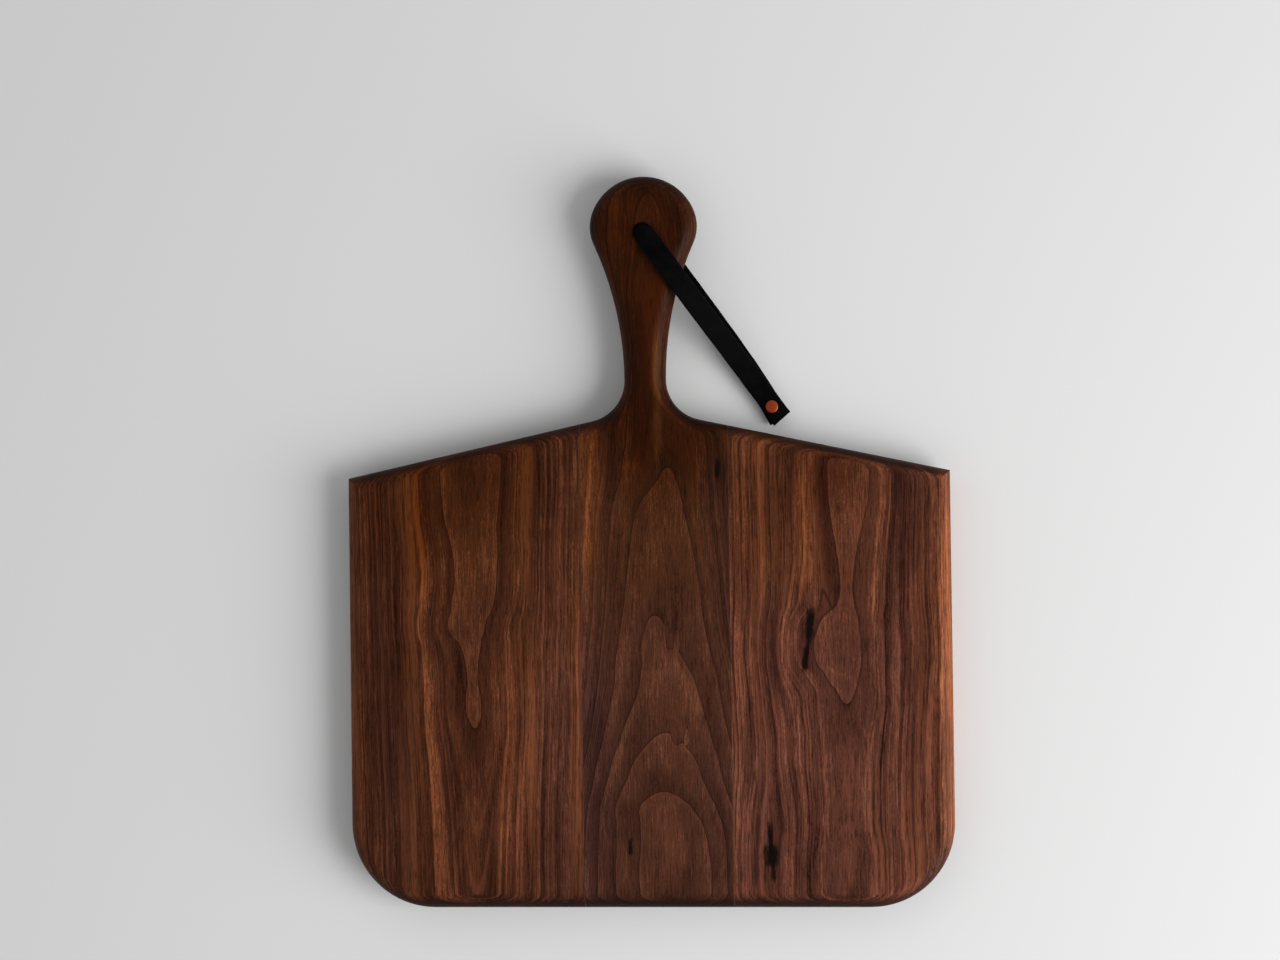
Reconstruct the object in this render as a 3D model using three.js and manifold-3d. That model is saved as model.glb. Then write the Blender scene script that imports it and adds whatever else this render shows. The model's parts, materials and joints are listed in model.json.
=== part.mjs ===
// Walnut serving board: three edge-glued staves, a knob handle and a riveted leather hanging strap.
// Millimetres, +Z up. The board lies on its back, serving face up, with the handle towards +Y.
// z = 0 is the table: the strap passes under the knob and keeps the board's back a little above it.
import * as THREE from "three";
import { mergeVertices } from "three/addons/utils/BufferGeometryUtils.js";
import Module from "manifold-3d";

const wasm = await Module();
wasm.setup();

// Board
const BOARD_WIDTH = 356;
const BOARD_LENGTH = 431;
const BOARD_THICKNESS = 19;
const EDGE_ROUND = 9.2;
const EDGE_FLAT = 0.6;
const FOOT_CORNER_RADIUS = 49.5;
const SHOULDER_SLOPE = 12.3;

// Handle
const NECK_WIDTH = 24.6;
const NECK_FILLET = 24.6;
const FLANK_RADIUS = 196;
const CROWN_RADIUS = 32.3;
const CHEEK_RADIUS = 24.8;
const CHEEK_ANGLE = 21.6;
const HOLE_DIAMETER = 10;
const HOLE_DROP = 33.5;
const HOLE_RIM_ROUND = 1.2;

// Staves and the glue between them
const HANDLE_STAVE_WIDTH = 87.5;
const HANDLE_STAVE_OFFSET = 5;
const SEAM_MARGIN = 3;
const GLUE_THICKNESS = 0.25;

// Leather strap, one strip folded through the hole
const STRAP_WIDTH = 12.7;
const STRAP_THICKNESS = 2;
const STRAP_REACH = 135.5;
const STRAP_ANGLE = -54.3;
const STRAP_SHOULDER_CLEARANCE = 5;
const BACK_PLY_SHORTER = 2.4;
const BACK_PLY_BOW = 2.4;
const FRONT_PLY_FLARE = 18;
const FRONT_PLY_CURL = 0.7;
const BACK_PLY_FLARE = 12;
const BACK_PLY_CURL = 0.1;
const FOLD_DEPTH = 1.3;
const LEATHER_GAP = 0.3;

// Copper rivet through both plies, with its burr (washer) underneath
const RIVET_INSET = 8;
const RIVET_HEAD_DIAMETER = 7.4;
const RIVET_HEAD_HEIGHT = 1.2;
const RIVET_SHANK_DIAMETER = 2.7;
const RIVET_PEEN_DIAMETER = 4.6;
const RIVET_PEEN_HEIGHT = 0.7;
const BURR_DIAMETER = 7.4;
const BURR_THICKNESS = 0.9;
const SEAT_GAP = 0.2;
const SHANK_GAP = 0.3;

// Smoothness of the curved faces
const ARC_STEP = 4.5;
const FLANK_STEP = 2.5;
const EDGE_STEPS = 7;
const LATHE_STEPS = 40;
const STRAP_STEPS_ACROSS = 8;

const degrees = THREE.MathUtils.degToRad;

// Heights over the table
const backZ = STRAP_THICKNESS + FOLD_DEPTH;
const frontZ = backZ + BOARD_THICKNESS;

// A closed three.js geometry as a solid that can be added, cut and intersected.
function solidFrom(geometry) {
  geometry.deleteAttribute("normal");
  geometry.deleteAttribute("uv");
  const merged = mergeVertices(geometry, 1e-4);
  const corners = merged.index.array;
  const kept = [];
  for (let i = 0; i < corners.length; i += 3) {
    const [a, b, c] = corners.slice(i, i + 3);
    const hasArea = a !== b && b !== c && c !== a;
    if (hasArea) kept.push(a, b, c);
  }
  const vertProperties = merged.attributes.position.array;
  const triVerts = new Uint32Array(kept);
  return new wasm.Manifold(new wasm.Mesh({ numProp: 3, vertProperties, triVerts }));
}

// A solid back as a flat-shaded three.js geometry.
function geometryFrom(solid) {
  const mesh = solid.getMesh();
  const indexed = new THREE.BufferGeometry();
  indexed.setAttribute("position", new THREE.BufferAttribute(mesh.vertProperties, 3));
  indexed.setIndex(new THREE.BufferAttribute(mesh.triVerts, 1));
  const geometry = indexed.toNonIndexed();
  geometry.computeVertexNormals();
  return geometry;
}

// Points along a circular arc, both ends included, angles in degrees.
function arcPoints(x, y, radius, from, to, step = ARC_STEP) {
  const count = Math.max(2, Math.ceil(Math.abs(to - from) / step));
  const points = [];
  for (let i = 0; i <= count; i += 1) {
    const angle = degrees(from + ((to - from) * i) / count);
    points.push(new THREE.Vector2(x + radius * Math.cos(angle), y + radius * Math.sin(angle)));
  }
  return points;
}

// A solid of revolution about +Z from [radius, height] pairs, listed from the bottom to the top.
function turned(profile) {
  const points = profile.map(([radius, height]) => new THREE.Vector2(radius, height));
  const geometry = new THREE.LatheGeometry(points, LATHE_STEPS);
  geometry.rotateX(Math.PI / 2);
  return solidFrom(geometry);
}

// Eases from 0 to 1 as x goes from start to end.
function ease(x, start, end) {
  return THREE.MathUtils.smoothstep(x, start, end);
}

// Outline, measured from the middle of the foot with y towards the handle. The knob is a crown arc
// with a smaller cheek arc on each side, a hollow flank runs from it to the neck, and a fillet runs
// from the neck into the sloping shoulder. All these arcs meet in tangents. The outer shoulder
// corners stay sharp and the corners at the foot are round.
const halfWidth = BOARD_WIDTH / 2;
const neck = NECK_WIDTH / 2;
const crownY = BOARD_LENGTH - CROWN_RADIUS;
const cheekX = (CROWN_RADIUS - CHEEK_RADIUS) * Math.cos(degrees(CHEEK_ANGLE));
const cheekY = crownY + (CROWN_RADIUS - CHEEK_RADIUS) * Math.sin(degrees(CHEEK_ANGLE));
const knobHalfWidth = cheekX + CHEEK_RADIUS;
const flankX = neck + FLANK_RADIUS;
const flankRise = Math.sqrt((CHEEK_RADIUS + FLANK_RADIUS) ** 2 - (flankX - cheekX) ** 2);
const neckY = cheekY - flankRise;
const flankAngle = THREE.MathUtils.radToDeg(Math.atan2(flankRise, cheekX - flankX));
const slope = degrees(SHOULDER_SLOPE);
const shoulderX = neck + NECK_FILLET - NECK_FILLET * Math.sin(slope);
const shoulderY = neckY - NECK_FILLET * Math.cos(slope);
const cornerY = shoulderY - (halfWidth - shoulderX) * Math.tan(slope);

function outlinePoints() {
  const footX = halfWidth - FOOT_CORNER_RADIUS;
  const rightHalf = [
    ...arcPoints(footX, FOOT_CORNER_RADIUS, FOOT_CORNER_RADIUS, -90, 0),
    new THREE.Vector2(halfWidth, cornerY),
    ...arcPoints(neck + NECK_FILLET, neckY, NECK_FILLET, -90 - SHOULDER_SLOPE, -180),
    ...arcPoints(flankX, neckY, FLANK_RADIUS, 180, flankAngle, FLANK_STEP).slice(1),
    ...arcPoints(cheekX, cheekY, CHEEK_RADIUS, flankAngle - 180, CHEEK_ANGLE).slice(1),
    ...arcPoints(0, crownY, CROWN_RADIUS, CHEEK_ANGLE, 90).slice(1),
  ];
  const leftHalf = rightHalf
    .slice(0, -1)
    .reverse()
    .map((point) => new THREE.Vector2(-point.x, point.y));
  const middle = BOARD_LENGTH / 2;
  return [...rightHalf, ...leftHalf].map((point) => new THREE.Vector2(point.x, point.y - middle));
}

// The whole board before it is split into staves: the outline extruded, with both edges rounded over.
const edgeRound = Math.min(EDGE_ROUND, (BOARD_THICKNESS - EDGE_FLAT) / 2, neck - 1);
const outline = outlinePoints();
const boardGeometry = new THREE.ExtrudeGeometry(new THREE.Shape(outline), {
  depth: BOARD_THICKNESS - 2 * edgeRound,
  bevelEnabled: true,
  bevelThickness: edgeRound,
  bevelSize: edgeRound,
  bevelOffset: -edgeRound,
  bevelSegments: EDGE_STEPS,
  steps: 1,
});
boardGeometry.translate(0, 0, backZ + edgeRound);

// The strap hole, with eased rims on both faces.
const holeRadius = HOLE_DIAMETER / 2;
const holeY = BOARD_LENGTH / 2 - HOLE_DROP;

function holeCutter() {
  const rim = holeRadius + HOLE_RIM_ROUND;
  const lower = arcPoints(rim, backZ + HOLE_RIM_ROUND, HOLE_RIM_ROUND, 270, 180, 22.5);
  const upper = arcPoints(rim, frontZ - HOLE_RIM_ROUND, HOLE_RIM_ROUND, 180, 90, 22.5);
  const curved = [...lower, ...upper].map((point) => [point.x, point.y]);
  const overshoot = 1;
  const cutter = turned([
    [0, backZ - overshoot],
    [rim, backZ - overshoot],
    ...curved,
    [rim, frontZ + overshoot],
    [0, frontZ + overshoot],
  ]);
  return cutter.translate([0, holeY, 0]);
}

const boardSolid = solidFrom(boardGeometry).subtract(holeCutter());

// The part of the board between two values of x.
function boardBetween(left, right) {
  const slab = new THREE.BoxGeometry(right - left, 2 * BOARD_LENGTH, 4 * BOARD_THICKNESS);
  slab.translate((left + right) / 2, 0, frontZ);
  return boardSolid.intersect(solidFrom(slab));
}

// The handle is cut from the middle stave alone, so both seams stay outside the knob.
const leastSeam = knobHalfWidth + SEAM_MARGIN;
const leftSeam = Math.min(HANDLE_STAVE_OFFSET - HANDLE_STAVE_WIDTH / 2, -leastSeam);
const rightSeam = Math.max(HANDLE_STAVE_OFFSET + HANDLE_STAVE_WIDTH / 2, leastSeam);
const glue = GLUE_THICKNESS / 2;
const outside = BOARD_WIDTH;

// The strap turns about the hole, and lies at an angle that keeps its end clear of the shoulder.
function strapRestAngle() {
  const shoulderNormal = 90 - SHOULDER_SLOPE;
  const holeOverCorner = BOARD_LENGTH - HOLE_DROP - cornerY;
  const holeFromShoulder = holeOverCorner * Math.cos(slope) - halfWidth * Math.sin(slope);
  const cornerReach = Math.hypot(STRAP_REACH, STRAP_WIDTH / 2);
  const cornerAngle = THREE.MathUtils.radToDeg(Math.atan2(STRAP_WIDTH / 2, STRAP_REACH));
  const cosine = Math.max(-1, (STRAP_SHOULDER_CLEARANCE - holeFromShoulder) / cornerReach);
  const closest = shoulderNormal - THREE.MathUtils.radToDeg(Math.acos(cosine)) + cornerAngle;
  return Math.max(STRAP_ANGLE, closest);
}

// Distance from the hole at which the strap, lying at an angle, has left the outline of the knob.
function knobReach(angle) {
  const forward = new THREE.Vector2(Math.cos(angle), Math.sin(angle));
  const sideways = new THREE.Vector2(-forward.y, forward.x);
  const hole = new THREE.Vector2(0, holeY);
  const local = outline.map((point) => {
    const offset = point.clone().sub(hole);
    return { along: offset.dot(forward), across: offset.dot(sideways) };
  });
  const reaches = [-STRAP_WIDTH / 2, 0, STRAP_WIDTH / 2].map((across) => {
    let nearest = Infinity;
    local.forEach((a, i) => {
      const b = local[(i + 1) % local.length];
      const crosses = a.across < across !== b.across < across;
      if (!crosses) return;
      const along = a.along + ((across - a.across) / (b.across - a.across)) * (b.along - a.along);
      if (along > 0) nearest = Math.min(nearest, along);
    });
    return nearest;
  });
  return Math.max(...reaches);
}

const strapAngle = degrees(strapRestAngle());
const rivetAlong = STRAP_REACH - RIVET_INSET;

// Heights of the rivet's stack, from the peened end on the table up to the head.
const burrZ = RIVET_PEEN_HEIGHT + SEAT_GAP;
const backPlyZ = burrZ + BURR_THICKNESS + SEAT_GAP;
const frontPlyZ = backPlyZ + STRAP_THICKNESS + SEAT_GAP;
const headZ = frontPlyZ + STRAP_THICKNESS + SEAT_GAP;

// Stations along the middle of the strip, from the end of the back ply, through the hole, to the end
// of the front ply. "along" is the distance from the hole's axis, "turn" the direction of travel in
// degrees (0 outwards, 90 up), "curl" how far the section is rolled up to pass the hole, and "across"
// the sideways bow of the back ply.
function strapStations() {
  const half = STRAP_THICKNESS / 2;
  const bend = HOLE_RIM_ROUND + LEATHER_GAP + half;
  const bendAlong = holeRadius + HOLE_RIM_ROUND;
  const lowerBendZ = backZ + HOLE_RIM_ROUND;
  const upperBendZ = frontZ - HOLE_RIM_ROUND;
  const landStart = rivetAlong - RIVET_INSET;
  const leaveKnob = knobReach(strapAngle) - edgeRound;
  const stations = [];

  const backZAt = (along) => {
    const lying = half + backPlyZ * ease(along, landStart - 45, landStart);
    const liftAtHole = lowerBendZ - bend - half;
    return lying + liftAtHole * (1 - ease(along, bendAlong, bendAlong + BACK_PLY_FLARE));
  };
  const frontZAt = (along) => {
    const onKnob = upperBendZ + bend;
    return onKnob + (frontPlyZ + half - onKnob) * ease(along, leaveKnob, landStart);
  };
  const leg = (zAt, alongs, outwards, curlAt, acrossAt) => {
    alongs.forEach((along) => {
      const rise = (zAt(along + 0.01) - zAt(along - 0.01)) / 0.02;
      const tilt = THREE.MathUtils.radToDeg(Math.atan(rise));
      const turn = outwards ? tilt : tilt + 180;
      stations.push({ along, z: zAt(along), turn, curl: curlAt(along), across: acrossAt(along) });
    });
  };
  const spaced = (from, to, count) =>
    Array.from({ length: count }, (_, i) => from + ((to - from) * i) / (count - 1));

  const backEnd = STRAP_REACH - BACK_PLY_SHORTER;
  const bowAt = (along) => BACK_PLY_BOW * Math.sin((Math.PI * along) / rivetAlong);
  const bowAtHole = bowAt(bendAlong);
  const backFlat = bendAlong + BACK_PLY_FLARE;
  leg(
    backZAt,
    [...spaced(backEnd, backFlat + 6, 16), ...spaced(backFlat + 2, bendAlong + 0.5, 6)],
    false,
    (along) => BACK_PLY_CURL * (1 - ease(along, bendAlong, backFlat)),
    (along) => bowAt(along) - bowAtHole * (1 - ease(along, bendAlong, backFlat)),
  );
  spaced(0, 90, 9).forEach((angle) => {
    const turn = 180 - angle;
    const along = bendAlong - bend * Math.sin(degrees(angle));
    const z = lowerBendZ - bend * Math.cos(degrees(angle));
    const curl = BACK_PLY_CURL + (1 - BACK_PLY_CURL) * ease(angle, 0, 90);
    stations.push({ along, z, turn, curl, across: 0 });
  });
  const holeAlong = bendAlong - bend;
  spaced(lowerBendZ, upperBendZ, 5)
    .slice(1)
    .forEach((z) => stations.push({ along: holeAlong, z, turn: 90, curl: 1, across: 0 }));
  spaced(90, 0, 8)
    .slice(1)
    .forEach((turn) => {
      const along = bendAlong - bend * Math.sin(degrees(turn));
      const z = upperBendZ + bend * Math.cos(degrees(turn));
      const curl = 1 - (1 - FRONT_PLY_CURL) * ease(90 - turn, 20, 90);
      stations.push({ along, z, turn, curl, across: 0 });
    });
  const frontFlat = bendAlong + FRONT_PLY_FLARE;
  leg(
    frontZAt,
    [...spaced(bendAlong + 1.5, frontFlat, 12), ...spaced(frontFlat + 5, STRAP_REACH, 18)],
    true,
    (along) => FRONT_PLY_CURL * (1 - ease(along, bendAlong, frontFlat)),
    () => 0,
  );
  return stations;
}

// One ring of points round the strip's section at a station, rolled into an arc by its curl.
function strapRing(station) {
  const half = STRAP_THICKNESS / 2;
  const curlRadius = holeRadius - LEATHER_GAP - half;
  const curvature = station.curl / curlRadius;
  const turn = degrees(station.turn);
  const place = (across, through) => {
    let sideways = across;
    let inwards = through;
    if (curvature > 1e-6) {
      const radius = 1 / curvature;
      sideways = (radius - through) * Math.sin(across * curvature);
      inwards = radius - (radius - through) * Math.cos(across * curvature);
    }
    return [
      station.along - Math.sin(turn) * inwards,
      station.across + sideways,
      station.z + Math.cos(turn) * inwards,
    ];
  };
  const ring = [];
  for (let i = 0; i <= STRAP_STEPS_ACROSS; i += 1) {
    ring.push(place((i / STRAP_STEPS_ACROSS - 0.5) * STRAP_WIDTH, -half));
  }
  for (let i = STRAP_STEPS_ACROSS; i >= 0; i -= 1) {
    ring.push(place((i / STRAP_STEPS_ACROSS - 0.5) * STRAP_WIDTH, half));
  }
  return ring;
}

function strapSolid() {
  const rings = strapStations().map(strapRing);
  const size = rings[0].length;
  const corners = [];
  const quad = (a, b, c, d) => corners.push(a, b, c, a, c, d);
  for (let i = 0; i + 1 < rings.length; i += 1) {
    for (let j = 0; j < size; j += 1) {
      const next = (j + 1) % size;
      quad(i * size + j, i * size + next, (i + 1) * size + next, (i + 1) * size + j);
    }
  }
  const last = (rings.length - 1) * size;
  for (let j = 0; j < STRAP_STEPS_ACROSS; j += 1) {
    const across = size - 1 - j;
    quad(j, across, across - 1, j + 1);
    quad(last + j, last + j + 1, last + across - 1, last + across);
  }
  const geometry = new THREE.BufferGeometry();
  geometry.setAttribute("position", new THREE.Float32BufferAttribute(rings.flat(2), 3));
  geometry.setIndex(corners);
  const shankHole = RIVET_SHANK_DIAMETER / 2 + SHANK_GAP;
  const punch = turned([
    [0, -1],
    [shankHole, -1],
    [shankHole, headZ + 1],
    [0, headZ + 1],
  ]);
  return solidFrom(geometry).subtract(punch.translate([rivetAlong, 0, 0]));
}

function rivetSolid() {
  const shank = RIVET_SHANK_DIAMETER / 2;
  const peen = RIVET_PEEN_DIAMETER / 2;
  const head = RIVET_HEAD_DIAMETER / 2;
  const rim = RIVET_HEAD_HEIGHT * 0.6;
  const top = headZ + RIVET_HEAD_HEIGHT;
  const headEdge = arcPoints(head - rim, top - rim, rim, 0, 80, 16);
  return turned([
    [0, 0],
    [peen * 0.45, 0.05 * RIVET_PEEN_HEIGHT],
    [peen * 0.8, 0.3 * RIVET_PEEN_HEIGHT],
    [peen, 0.75 * RIVET_PEEN_HEIGHT],
    [peen, RIVET_PEEN_HEIGHT],
    [shank, RIVET_PEEN_HEIGHT],
    [shank, headZ],
    [head, headZ],
    ...headEdge.map((point) => [point.x, point.y]),
    [0, top],
  ]);
}

function burrSolid() {
  const outer = BURR_DIAMETER / 2;
  const inner = RIVET_SHANK_DIAMETER / 2 + SHANK_GAP;
  const chamfer = BURR_THICKNESS * 0.25;
  const top = burrZ + BURR_THICKNESS;
  return turned([
    [inner, burrZ],
    [outer - chamfer, burrZ],
    [outer, burrZ + chamfer],
    [outer, top],
    [inner, top],
    [inner, burrZ],
  ]);
}

const walnutLeft = new THREE.MeshStandardMaterial({ color: 0x5c3420, roughness: 0.5, metalness: 0 });
const walnutHandle = new THREE.MeshStandardMaterial({ color: 0x55301e, roughness: 0.5, metalness: 0 });
const walnutRight = new THREE.MeshStandardMaterial({ color: 0x4f2d1d, roughness: 0.5, metalness: 0 });
const glueLine = new THREE.MeshStandardMaterial({ color: 0x2b1a10, roughness: 0.6, metalness: 0 });
const leather = new THREE.MeshStandardMaterial({ color: 0x15120f, roughness: 0.6, metalness: 0 });
const copper = new THREE.MeshStandardMaterial({ color: 0xb5673a, roughness: 0.35, metalness: 1 });

function named(name, solid, material) {
  const mesh = new THREE.Mesh(geometryFrom(solid), material);
  mesh.name = name;
  return mesh;
}

const strapLoop = new THREE.Group();
strapLoop.name = "strap_loop";
strapLoop.position.set(0, holeY, 0);
strapLoop.rotation.z = strapAngle;
strapLoop.add(
  named("leather_strap", strapSolid(), leather),
  named("rivet", rivetSolid().translate([rivetAlong, 0, 0]), copper),
  named("rivet_burr", burrSolid().translate([rivetAlong, 0, 0]), copper),
);

const servingBoard = new THREE.Group();
servingBoard.name = "serving_board";
servingBoard.add(
  named("left_stave", boardBetween(-outside, leftSeam - glue), walnutLeft),
  named("glue_line_left", boardBetween(leftSeam - glue, leftSeam + glue), glueLine),
  named("handle_stave", boardBetween(leftSeam + glue, rightSeam - glue), walnutHandle),
  named("glue_line_right", boardBetween(rightSeam - glue, rightSeam + glue), glueLine),
  named("right_stave", boardBetween(rightSeam + glue, outside), walnutRight),
  strapLoop,
);

export default servingBoard;
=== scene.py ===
# %% [markdown]
# # A walnut serving board with a leather hanging strap
# The board is three walnut staves glued edge to edge. Its middle stave carries a neck and a knob, and
# a strip of black leather is folded through a hole in the knob and closed with a copper rivet.
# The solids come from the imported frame, which fixes every size and place. This lesson adds what the
# frame can't hold: the grain of each stave, the leather, the copper, the light and the camera.

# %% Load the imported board
import json
import math
from collections import namedtuple

import bmesh
import bpy
from mathutils import Matrix, Vector


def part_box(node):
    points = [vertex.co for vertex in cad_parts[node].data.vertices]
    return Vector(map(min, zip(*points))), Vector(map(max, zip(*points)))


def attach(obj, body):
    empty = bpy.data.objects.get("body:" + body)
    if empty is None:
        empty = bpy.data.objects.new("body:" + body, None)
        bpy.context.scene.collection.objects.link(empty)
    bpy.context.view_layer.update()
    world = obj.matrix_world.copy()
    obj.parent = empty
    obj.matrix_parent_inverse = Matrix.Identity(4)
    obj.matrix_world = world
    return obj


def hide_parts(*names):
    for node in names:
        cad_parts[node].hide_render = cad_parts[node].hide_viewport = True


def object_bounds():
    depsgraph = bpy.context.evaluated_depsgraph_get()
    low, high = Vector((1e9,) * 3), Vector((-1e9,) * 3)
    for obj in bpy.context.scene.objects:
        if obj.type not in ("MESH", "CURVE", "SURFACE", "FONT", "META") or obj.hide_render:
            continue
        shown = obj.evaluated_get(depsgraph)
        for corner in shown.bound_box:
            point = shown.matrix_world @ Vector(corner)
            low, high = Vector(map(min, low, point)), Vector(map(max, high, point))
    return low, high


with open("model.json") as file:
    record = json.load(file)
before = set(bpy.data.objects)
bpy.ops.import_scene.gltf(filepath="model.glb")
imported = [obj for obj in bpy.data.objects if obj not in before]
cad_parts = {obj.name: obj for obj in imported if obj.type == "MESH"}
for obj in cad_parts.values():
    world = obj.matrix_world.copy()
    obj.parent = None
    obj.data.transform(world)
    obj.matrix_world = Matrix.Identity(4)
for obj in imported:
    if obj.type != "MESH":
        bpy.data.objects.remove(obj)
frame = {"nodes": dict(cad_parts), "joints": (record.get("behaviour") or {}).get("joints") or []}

cad_low, cad_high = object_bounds()
nodes = frame["nodes"]
print("frame:", len(nodes), "nodes, box", [round(v, 4) for v in (*cad_low, *cad_high)])

# %% [markdown]
# ## Measures
# Blender works in metres, while a wood worker thinks in millimetres. So the sizes below are written in
# millimetres, and MM turns them into metres. The board's own heights are read from the frame, so that
# nothing here has to be fitted by eye.

# %% Heights and places from the frame
MM = 0.001
stave_low, stave_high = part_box("handle_stave")
BACK_HEIGHT = stave_low.z / MM
FACE_HEIGHT = stave_high.z / MM
FOOT_Y = cad_low.y / MM
hole_place = Vector(frame["joints"][0]["pos_m"]) / MM
print("face height", round(FACE_HEIGHT, 2), "mm, hole at y", round(hole_place.y, 2), "mm")

# %% [markdown]
# ## Camera
# The photograph looks almost straight at the serving face, a little from the right. The numbers say how
# the foot of the board lies in front of the camera, and how far the board is turned away from it.
# A matrix built that way round is easy to read, and its inverse is where the camera stands.

# %% Camera at the photograph's view
LENS = 67.5
SENSOR_WIDTH = 36.0
FOOT_FROM_CAMERA = Vector((7.12, -251.48, -1413.96))
BOARD_YAW = math.radians(-4.553)
BOARD_PITCH = math.radians(-0.869)
BOARD_ROLL = math.radians(0.747)


def new_object(name, data):
    """An object that holds a mesh, a lamp or a camera, put into the scene."""
    made = bpy.data.objects.new(name, data)
    bpy.context.scene.collection.objects.link(made)
    return made


def photo_camera():
    data = bpy.data.cameras.new("photo_camera")
    data.lens = LENS
    data.sensor_width = SENSOR_WIDTH
    data.sensor_fit = "HORIZONTAL"
    made = new_object("photo_camera", data)
    foot = Vector((0, FOOT_Y, (BACK_HEIGHT + FACE_HEIGHT) / 2)) * MM
    yaw = Matrix.Rotation(BOARD_YAW, 4, "Y")
    pitch = Matrix.Rotation(BOARD_PITCH, 4, "X")
    roll = Matrix.Rotation(BOARD_ROLL, 4, "Z")
    board_to_camera = Matrix.Translation(FOOT_FROM_CAMERA * MM) @ roll @ pitch @ yaw
    made.matrix_world = (board_to_camera @ Matrix.Translation(-foot)).inverted()
    bpy.context.scene.camera = made
    return made


camera = photo_camera()
print("camera stands at", [round(v, 3) for v in camera.matrix_world.translation])

# %% [markdown]
# ## Short calls for shader nodes
# A finish is a network of small nodes, and each takes several lines to make by hand. These helpers make
# a node, set it and link it in one call, so the cells below read as what the finish does. A value given
# to a socket may be a number, a colour or the output of another node.

# %% Helpers for node trees
class Shading:
    """A node tree with one short call for each kind of node that the finishes use."""

    def __init__(self, tree):
        self.tree = tree

    def add(self, kind, inputs=None, **settings):
        node = self.tree.nodes.new(kind)
        for name, value in settings.items():
            setattr(node, name, value)
        for name, value in (inputs or {}).items():
            self.feed(node.inputs[name], value)
        return node

    def feed(self, socket, value):
        if isinstance(value, bpy.types.NodeSocket):
            self.tree.links.new(value, socket)
        else:
            socket.default_value = value

    def group(self, tree, inputs):
        node = self.add("ShaderNodeGroup", node_tree=tree)
        for name, value in inputs.items():
            self.feed(node.inputs[name], value)
        return node.outputs

    def math(self, operation, first, second=0.0):
        return self.add("ShaderNodeMath", {0: first, 1: second}, operation=operation).outputs[0]

    def plus(self, first, second):
        return self.math("ADD", first, second)

    def minus(self, first, second):
        return self.math("SUBTRACT", first, second)

    def times(self, first, second):
        return self.math("MULTIPLY", first, second)

    def over(self, first, second):
        return self.math("DIVIDE", first, second)

    def vector(self, x, y, z):
        return self.add("ShaderNodeCombineXYZ", {"X": x, "Y": y, "Z": z}).outputs[0]

    def noise(self, vector, detail=2.0, roughness=0.5):
        inputs = {"Vector": vector, "Scale": 1.0, "Detail": detail, "Roughness": roughness}
        return self.add("ShaderNodeTexNoise", inputs, noise_dimensions="3D").outputs[0]

    def ramp(self, value, start, end, low=0.0, high=1.0):
        inputs = {"Value": value, "From Min": start, "From Max": end, "To Min": low, "To Max": high}
        return self.add("ShaderNodeMapRange", inputs, interpolation_type="SMOOTHSTEP").outputs[0]

    def mix(self, share, first, second, blend="MIX"):
        inputs = {0: share, 6: first, 7: second}
        return self.add("ShaderNodeMix", inputs, data_type="RGBA", blend_type=blend).outputs[2]

    def bump(self, height, strength, depth):
        """A normal that follows a height pattern, with its depth in millimetres."""
        inputs = {"Height": height, "Strength": strength, "Distance": depth * MM}
        return self.add("ShaderNodeBump", inputs).outputs[0]

    def curve(self, value, points):
        """A smooth curve through a few (place, value) points, both in their own units."""
        places = [place for place, _ in points]
        values = [height for _, height in points]
        low, span = min(values), max(values) - min(values)
        start, reach = min(places), max(places) - min(places)
        node = self.add("ShaderNodeFloatCurve", {"Value": self.over(self.minus(value, start), reach)})
        line = node.mapping.curves[0]
        spots = sorted(((place - start) / reach, (height - low) / span) for place, height in points)
        line.points[0].location = spots[0]
        line.points[1].location = spots[-1]
        for spot in spots[1:-1]:
            line.points.new(*spot)
        for point in line.points:
            point.handle_type = "AUTO_CLAMPED"
        node.mapping.update()
        return self.plus(self.times(node.outputs[0], span), low)


print("node helpers ready")

# %% New groups, materials and colours
NUMBER = "NodeSocketFloat"
TINT = "NodeSocketColor"


def new_group(name, inputs, outputs):
    """An empty shader node group: its Shading, the sockets it gets and the sockets it fills."""
    tree = bpy.data.node_groups.new(name, "ShaderNodeTree")
    for socket, kind in inputs.items():
        tree.interface.new_socket(socket, in_out="INPUT", socket_type=kind)
    for socket, kind in outputs.items():
        tree.interface.new_socket(socket, in_out="OUTPUT", socket_type=kind)
    shading = Shading(tree)
    source = shading.add("NodeGroupInput").outputs
    target = shading.add("NodeGroupOutput").inputs
    return shading, source, target


def new_material(name):
    material = bpy.data.materials.new(name)
    material.use_nodes = True
    shader = material.node_tree.nodes["Principled BSDF"]
    return material, Shading(material.node_tree), shader


def colour(red, green, blue):
    """A colour as a screen shows it (0 to 255), turned into the linear light that shaders use."""
    shares = [channel / 255 for channel in (red, green, blue)]
    return (*[(v / 12.92) if v <= 0.04045 else ((v + 0.055) / 1.055) ** 2.4 for v in shares], 1)


print("groups and materials can be made")

# %% [markdown]
# ## Light and floor
# In the photograph a large soft window on the right lights the right edge and the right side of the
# neck, and leaves the left and lower edges dark. One big area lamp on the right does that, low enough
# to rake over the rounded edges. A grey sky fills the shadows. It is darker overhead, like a black card
# hung behind the camera, so that the flat face doesn't mirror it and the wood keeps its deep colour.

# %% Studio light and a plain pale floor
KEY_PLACE = Vector((2.0, -0.75, 1.17))
KEY_SIZE = 1.9
KEY_POWER = 70.0
SKY_STRENGTH = 0.65
OVERHEAD_STRENGTH = 0.18
CARD_EDGE = (0.68, 0.86)
FLOOR_SIZE = 9.0
FLOOR_DROP = 0.1
FLOOR_COLOUR = (0.75, 0.75, 0.75, 1)
FLOOR_ROUGHNESS = 0.9
FLOOR_SPECULAR = 0.1


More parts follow.
